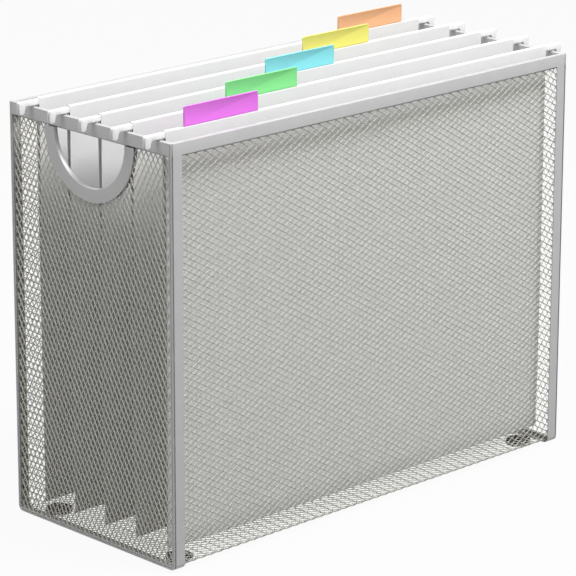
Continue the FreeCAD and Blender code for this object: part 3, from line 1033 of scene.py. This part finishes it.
@dataclass
class HangingFolders:
    """Five folders: two paper panels each, two hanging strips, four hooks and a tab.

    The paper has rows of corners at the shares of its face, from the crease to the sleeve.
    A finger is a hook's end beyond the rail, and its pair is how far it reaches. The plug is
    a hook's root in the paper's sleeve.
    """

    box: BoxSizes
    paper: Material
    plastic: Material
    first: float = -57.3
    pitch: float = 26.4
    length: float = 305.0
    shift: float = -1.8
    top: float = 251.3
    crease: float = 11.2
    crease_radius: float = 0.33
    sheet: float = 0.25
    sleeve_out: float = 1.295
    sleeve_in: float = 0.145
    sleeve_low: float = 240.3
    sleeve_steps: int = 6
    shares: tuple[float, ...] = (0.05, 0.16, 0.3, 0.45, 0.6, 0.75, 0.88, 1.0)
    flap_low: float = 226.0
    flap_lip: float = 6.0
    flap_gap: float = 0.02
    flap_lift: float = 0.45
    wave: float = 0.3
    wave_low: Pair = (14.0, 40.0)
    wave_high: Pair = (222.0, 60.0)
    hook_middle: float = 0.72
    armpit: float = 1.5
    plug_mouth: float = 0.45
    plug_length: float = 4.0
    plug_low: float = 241.2
    plug_top: float = 250.95
    plug_gauge: float = 0.88
    hook_gauge: float = 0.95
    hook_top: float = 250.6
    hook_rest: float = 246.6
    hook_lift: float = 1.0
    hook_tip: float = 243.3
    finger: Pair = (3.6, 8.15)
    finger_taper: float = 1.0
    finger_lean: float = 0.3
    tip_round: float = 1.1
    crown_round: float = 1.3
    hook_edge: float = 0.24
    tab_first: float = -113.2
    tab_pitch: float = 55.4
    tab_size: Point = (54.8, 1.0, 11.2)
    tab_round: float = 0.8
    tab_chamfer: float = 0.12
    tab_border: float = 0.53
    tab_step: Pair = (0.1, -0.05)
    across: int = 18

    def section(self) -> list[Pair]:
        """Draw the rear panel's middle line, from the crease round the sleeve to the flap.

        Returns:
            Each point's distance from the folder's middle, and its height.
        """
        radius, bend = self.crease_radius, (self.sleeve_out - self.sleeve_in) / 2
        angles = (0.0, 0.8, math.pi / 2)
        line = [(radius * math.sin(a), self.crease - radius * math.cos(a)) for a in angles]
        rise = self.sleeve_low - self.crease
        for share in self.shares:
            line.append((radius + (self.sleeve_out - radius) * share, self.crease + rise * share))
        crown = self.top - self.sheet / 2 - bend
        middle = (self.sleeve_out + self.sleeve_in) / 2
        line.append((self.sleeve_out, crown))
        for step in range(1, self.sleeve_steps):
            angle = math.pi * step / self.sleeve_steps
            line.append((middle + bend * math.cos(angle), crown + bend * math.sin(angle)))
        line.append((self.sleeve_in, crown))
        line.append((self.sleeve_in, self.sleeve_low + 1.0))
        face = radius + (self.sleeve_out - radius) * (self.flap_low - self.crease) / rise
        line.append((face - self.flap_lift - self.sheet, self.flap_low + self.flap_lip))
        line.append((face - self.flap_gap - self.sheet, self.flap_low))
        return line

    def panel(self, name: str, side: int) -> Piece:
        """Fold one panel from a strip of paper.

        Args:
            name: the piece's name.
            side: -1 for the front panel, 1 for the rear.

        Returns:
            The panel about Y = 0.
        """
        line = [(side * y, z) for y, z in self.section()]
        Bench.clear()
        bpy.ops.mesh.primitive_grid_add(x_subdivisions=self.across, y_subdivisions=1, size=1)
        bpy.context.active_object.scale = (self.length * MM, 1 * MM, 1)
        piece = Bench.named(name)
        Bench.edit()
        Bench.pick_where(Element.VERTEX, lambda c: c.y < 0)
        Bench.move(y=line[0][0] + 0.5, z=line[0][1])
        Bench.pick_where(Element.VERTEX, lambda c: c.z < 1)
        Bench.move(y=line[1][0] - 0.5, z=line[1][1])
        Bench.pick_where(Element.EDGE, lambda c: abs(c.z - line[1][1]) < FINE)
        for here, there in zip(line[1:], line[2:]):
            Bench.extrude(y=there[0] - here[0], z=there[1] - here[1])
        Bench.merge(FINE)
        Bench.turn_over(Vector((0, side, 0)), 0.0)
        Bench.done()
        return piece

    def finish_panel(self, piece: Piece, number: int) -> None:
        """Let the paper wave a little below its sleeve, and give it its thickness.

        Args:
            piece: the panel.
            number: the folder's, which sets the wave's phase.
        """

        def part(distance: float, whole: float) -> float:
            """A distance as a part of a whole, kept from 0 to 1."""
            return min(1.0, max(0.0, distance / whole))

        foot, foot_fade = self.wave_low
        head, head_fade = self.wave_high
        for corner in piece.data.vertices:
            x, z = corner.co.x / MM, corner.co.z / MM
            share = part(head - z, head_fade) * part(z - foot, foot_fade)
            long_swell = math.sin(x / 61.0 + 1.9 * number)
            short_swell = 0.6 * math.sin(x / 33.0 - z / 70.0 + 0.8 * number)
            corner.co.y += self.wave * share * (long_swell + short_swell) * MM
        thickness = self.sheet * MM
        Bench.modify(piece, "SOLIDIFY", thickness=thickness, offset=0.0, use_even_offset=True)
        Bench.smooth(piece, 50)
        piece.data.materials.append(self.paper)

    def hooks(self, name: str, rest: float) -> Piece:
        """Model one hanging strip's two hook ends.

        Args:
            name: the piece's name.
            rest: the arm's underside.

        Returns:
            Both hooks about Y = 0.
        """
        root = self.length / 2
        inner = self.box.length / 2 + self.finger[0]
        outer = self.box.length / 2 + self.finger[1]
        half = self.hook_gauge / 2
        middle = (rest + self.hook_top) / 2
        tip = self.hook_tip + NEAR
        plug = root - NEAR
        piece = Bench.block(name, (root, -half, rest), (outer, half, self.hook_top))
        Bench.edit()
        Bench.cut((inner, 0, 0), (1, 0, 0), drop=False)
        Bench.pick_where(Element.FACE, lambda c: c.z < rest + NEAR and c.x > inner - NEAR)
        Bench.extrude(z=self.hook_tip - rest)
        Bench.pick_where(Element.VERTEX, lambda c: c.z < tip and c.x < inner + NEAR)
        Bench.move(x=self.finger_taper)
        Bench.pick_where(Element.VERTEX, lambda c: c.z < tip and c.x > outer - NEAR)
        Bench.move(x=-self.finger_lean)
        Bench.pick_across(half, lambda c: c.z < tip)
        Bench.bevel(self.tip_round, 4)
        Bench.pick_across(half, lambda c: c.z > self.hook_top - NEAR and c.x > outer - NEAR)
        Bench.bevel(self.crown_round, 4)
        Bench.pick_across(half, lambda c: abs(c.z - rest) < NEAR and abs(c.x - inner) < NEAR)
        Bench.bevel(self.armpit, 5)
        Bench.pick_where(Element.FACE, lambda c: c.x < root + NEAR)
        Bench.extrude(x=-self.plug_mouth)
        Bench.pick_where(Element.VERTEX, lambda c: c.x < plug and c.z > middle)
        Bench.move(z=self.plug_top - self.hook_top)
        Bench.pick_where(Element.VERTEX, lambda c: c.x < plug and c.z < middle)
        Bench.move(z=self.plug_low - rest)
        Bench.pick_where(Element.FACE, lambda c: c.x < plug)
        Bench.extrude(x=self.plug_mouth - self.plug_length)
        Bench.pick_where(Element.VERTEX, lambda c: c.x < plug)
        thinner = (1, self.plug_gauge / self.hook_gauge, 1)
        bpy.ops.transform.resize(value=thinner, center_override=(0, 0, 0))
        Bench.face_outwards()
        Bench.done()
        Bench.modify(
            piece,
            "BEVEL",
            width=self.hook_edge * MM,
            segments=2,
            limit_method="ANGLE",
            angle_limit=math.radians(50),
        )
        Bench.modify(piece, "MIRROR", use_clip=False, use_mirror_merge=False)
        Bench.edit()
        Bench.face_outwards()
        Bench.done()
        Bench.smooth(piece)
        piece.data.materials.append(self.plastic)
        return piece

    def tab(self, name: str) -> Piece:
        """Model a tab: a flat plastic plate with a slightly raised border.

        Args:
            name: the piece's name.

        Returns:
            The tab about X = 0 and Y = 0, standing on the paper.
        """
        wide, thick, tall = self.tab_size
        low, high = self.top, self.top + tall
        core = thick / 2 - self.tab_chamfer
        piece = Bench.block(name, (-wide / 2, -core, low), (wide / 2, core, high))
        Bench.edit()
        Bench.pick_across(core, lambda c: c.z > high - NEAR)
        Bench.bevel(self.tab_round, 3)
        Bench.pick(Element.FACE, lambda f: abs(f.normal.y) > 0.99)
        chamfer = (self.tab_chamfer, self.tab_chamfer)
        for inset, rise in (chamfer, (self.tab_border, 0.0), self.tab_step):
            bpy.ops.mesh.inset(thickness=inset * MM, depth=rise * MM, use_individual=True)
        Bench.face_outwards()
        Bench.done()
        Bench.smooth(piece)
        return piece

    def build(self, nodes: dict[str, Piece], steel: Material) -> None:
        """Build all five folders.

        Args:
            nodes: the frame's nodes, whose hanging strips stay.
            steel: the hanging strips' finish.
        """
        sides = (("front", -1, self.hook_rest + self.hook_lift), ("rear", 1, self.hook_rest))
        panels = {name: self.panel(f"{name}_panel_pattern", side) for name, side, _ in sides}
        hooks = {name: self.hooks(f"{name}_hooks_pattern", rest) for name, _, rest in sides}
        plate = self.tab("tab_pattern")
        for colour in TabColour:
            number, slot, screen = colour.value
            y = self.first + self.pitch * (number - 1)
            for name, side, _ in sides:
                body = f"folder_{number}_{name}"
                panel = Bench.copy(panels[name], f"{body}_paper", x=self.shift, y=y)
                self.finish_panel(panel, number)
                settle(panel, body, "folder_paper", f"{body}_panel")
                hook_y = y + side * self.hook_middle
                pair = Bench.copy(hooks[name], f"{body}_hook_ends", x=self.shift, y=hook_y)
                settle(pair, body, "hook_white", f"{body}_hooks")
                dress(nodes[f"{body}_rod"], steel)
            x = self.tab_first + self.tab_pitch * (number - 1)
            tab = Bench.copy(plate, f"folder_{number}_tab_plate", x=x, y=y - self.hook_middle)
            plastic = replace(
                HOOK_PLASTIC, name=f"{slot}_plastic", colour=linear(*screen), roughness=0.4
            )
            tab.data.materials.append(plastic.make())
            settle(tab, f"folder_{number}_front", slot, f"folder_{number}_tab")
        for pattern in (*panels.values(), *hooks.values(), plate):
            bpy.data.objects.remove(pattern)


# ---- the studio


@dataclass
class Studio:
    """Floor, lights, surroundings and camera.

    The lamps, the ambient level and the clip range are in Blender's own units. The focal
    length and the frame are in pixels. The offset is where a point at the lift above the
    table stands from the camera: right, down and away.
    """

    ambient: float = 0.18
    key_power: float = 40.0
    key_size: float = 0.7
    fill_power: float = 15.0
    fill_size: float = 0.9
    lamp_distance: float = 1.9
    lamp_aim: float = 0.12
    key_from: Pair = (22.0, 61.0)
    fill_from: Pair = (-90.0, 60.0)
    floor_size: float = 9000.0
    floor_shade: float = 0.3
    floor_shown: float = 0.5
    floor_white: float = 0.94
    azimuth: float = -43.93
    elevation: float = 16.86
    roll: float = 0.10
    focal: float = 3324.0
    frame: float = 576.0
    sensor: float = 36.0
    clip: Pair = (0.05, 30.0)
    offset: Point = (4.4, 111.8, 1999.0)
    lift: float = 1.5

    @staticmethod
    def towards(azimuth: float, elevation: float) -> Vector:
        """The direction from the object to a viewer at an azimuth and elevation in degrees."""
        a, e = math.radians(azimuth), math.radians(elevation)
        return Vector((math.sin(a) * math.cos(e), -math.cos(a) * math.cos(e), math.sin(e)))

    @staticmethod
    def unseen(graph: Graph) -> Wire:
        """A value of 1 for camera, glossy and transmission rays, and 0 for light on things.

        Args:
            graph: the floor's or the world's.

        Returns:
            The wire of the value.
        """
        names = ("Is Camera Ray", "Is Glossy Ray", "Is Transmission Ray")
        camera, glossy, through = (graph.node("ShaderNodeLightPath", output=n) for n in names)
        total = camera + glossy + through
        return graph.node("ShaderNodeMath", {"operation": "MINIMUM"}, {0: total, 1: 1.0})

    def surroundings(self) -> None:
        """Light all round at the ambient level, and show a white background."""
        world = bpy.data.worlds.new("studio")
        bpy.context.scene.world = world
        graph = Graph(world)
        dim, white = (
            graph.node("ShaderNodeBackground", inputs={"Color": (1, 1, 1, 1), "Strength": strength})
            for strength in (self.ambient, 1.0)
        )
        inputs = {0: self.unseen(graph), 1: dim, 2: white}
        shown = graph.node("ShaderNodeMixShader", inputs=inputs)
        graph.node("ShaderNodeOutputWorld", inputs={"Surface": shown})

    def floor(self) -> None:
        """Lay a plain floor that stays white on screen and keeps the box's shadow."""
        floor = Bench.plane("studio_floor", (0, 0, 0), (self.floor_size, self.floor_size))
        material = bpy.data.materials.new("studio_floor")
        graph = Graph(material)
        extra = self.floor_shown - self.floor_shade
        shade = self.unseen(graph) * extra + self.floor_shade
        matte = graph.node("ShaderNodeBsdfDiffuse", inputs={"Color": shade})
        inputs = {"Color": (1, 1, 1, 1), "Strength": 1.0}
        white = graph.node("ShaderNodeEmission", inputs=inputs)
        share = self.unseen(graph) * self.floor_white
        mixed = graph.node("ShaderNodeMixShader", inputs={0: share, 1: matte, 2: white})
        graph.node("ShaderNodeOutputMaterial", inputs={"Surface": mixed})
        floor.data.materials.append(material)

    def lamp(self, name: str, seen_from: Pair, power: float, size: float) -> None:
        """Hang a square soft light that looks at the box's middle.

        Args:
            name: the lamp's name.
            seen_from: its azimuth and elevation in degrees.
            power: its power in watts.
            size: its side in metres.
        """
        light = bpy.data.lights.new(name, "AREA")
        light.energy = power
        light.size = size
        lamp = bpy.data.objects.new(name, light)
        direction = self.towards(*seen_from)
        lamp.location = Vector((0, 0, self.lamp_aim)) + direction * self.lamp_distance
        lamp.rotation_euler = (-direction).to_track_quat("-Z", "Y").to_euler()
        bpy.context.scene.collection.objects.link(lamp)

    def camera(self) -> None:
        """Stand the camera where the photograph was taken."""
        back = self.towards(self.azimuth, self.elevation)
        heading = math.radians(self.azimuth)
        right = Vector((math.cos(heading), math.sin(heading), 0))
        up = back.cross(right)
        turn = Matrix.Rotation(math.radians(self.roll), 3, back)
        right, up = turn @ right, turn @ up
        x, y, z = self.offset
        data = bpy.data.cameras.new("photo_camera")
        data.sensor_width = self.sensor
        data.lens = self.focal / self.frame * self.sensor
        data.clip_start, data.clip_end = self.clip
        camera = bpy.data.objects.new("photo_camera", data)
        place = (back * z + up * y - right * x + Vector((0, 0, self.lift))) * MM
        turned = Matrix((right, up, back)).transposed().to_4x4()
        camera.matrix_world = Matrix.Translation(place) @ turned
        bpy.context.scene.collection.objects.link(camera)
        bpy.context.scene.camera = camera

    def build(self) -> None:
        """Set up the whole studio."""
        bpy.context.scene.view_settings.view_transform = "Standard"
        self.surroundings()
        self.floor()
        self.lamp("key_softbox", self.key_from, self.key_power, self.key_size)
        self.lamp("fill_softbox", self.fill_from, self.fill_power, self.fill_size)
        self.camera()


def dress(piece: Piece, material: Material) -> None:
    """Give one of the frame's own pieces a finish."""
    if not piece.material_slots:
        piece.data.materials.append(material)
    for slot in piece.material_slots:
        slot.material = material


def settle(piece: Piece, body: str, slot: str, *nodes: str) -> None:
    """Put a finished piece on its body, in place of the nodes that it stands for.

    Args:
        piece: the piece.
        body: the body that carries it.
        slot: the record's material slot; not used.
        nodes: the nodes that it replaces.
    """
    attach(piece, body)
    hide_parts(*nodes)
    triangles = sum(len(face.vertices) - 2 for face in piece.data.polygons)
    LOG.info("%s: %d triangles on %s", piece.name, triangles, body)


def main() -> None:
    """Load the frame and build each sub-assembly in order."""
    logging.basicConfig(level=logging.INFO, format="%(message)s")
    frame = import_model()
    silver = POWDER_COAT.make()
    # Painted glint: the mesh gets a lighter, warmer copy of the frame's powder coat, standing in
    # for the sheen on its strands.
    mesh_coat_with_painted_glint = replace(POWDER_COAT, name="silver_mesh_coat", colour=linear(200, 199, 190))
    box = BoxSizes()
    ExpandedMesh(box, mesh_coat_with_painted_glint.make()).build()
    FoldedStrips(box, silver).build()
    folders = HangingFolders(box, FOLDER_PAPER.make(), HOOK_PLASTIC.make())
    folders.build(frame["nodes"], STRIP_STEEL.make())
    rubber = FOOT_RUBBER.make()
    for end in ("left", "right"):
        for side in ("front", "rear"):
            dress(frame["nodes"][f"foot_{side}_{end}"], rubber)
    Studio().build()
    Bench.clear()


if __name__ == "__main__":
    main()
